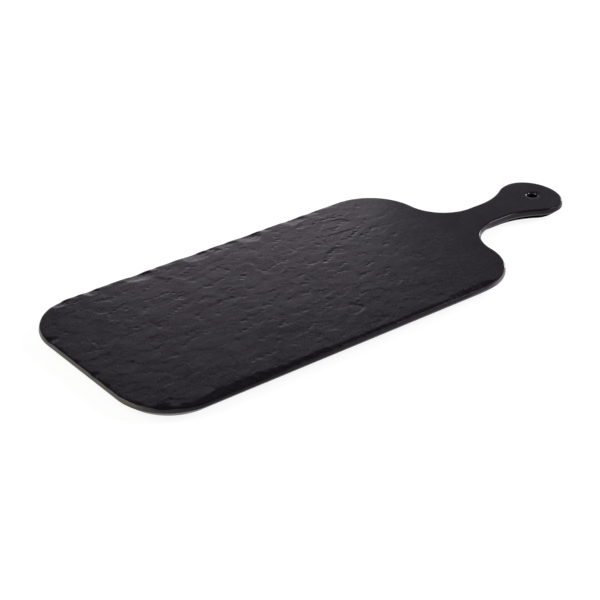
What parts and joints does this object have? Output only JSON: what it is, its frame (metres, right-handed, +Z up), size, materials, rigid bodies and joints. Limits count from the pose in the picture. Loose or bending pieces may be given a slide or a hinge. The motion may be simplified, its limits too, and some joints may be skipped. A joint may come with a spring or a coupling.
{
  "type": "serving paddle",
  "caption": "Flat serving board with rounded corners, a waisted handle ending in a pierced knob, a riven slate-look top, an undercut edge and rubber feet underneath.",
  "frame": {"origin": "middle of the overall length and width, on the surface the paddle stands on", "axes": "+X along the paddle from the plain end to the handle's tip, +Y across it to the left when looking towards the handle, +Z up out of the serving face"},
  "size_m": [0.385, 0.15, 0.01],
  "materials": {
    "melamine": "black moulded melamine: satin riven slate relief on the board, smoother on the handle, glossier on the edge and in the hanging hole",
    "foot_rubber": "matte black rubber"
  },
  "bodies": {
    "root": {"paddle_body": "melamine", "foot_end_left": "foot_rubber", "foot_end_right": "foot_rubber", "foot_shoulder_left": "foot_rubber", "foot_shoulder_right": "foot_rubber"}
  },
  "joints": []
}
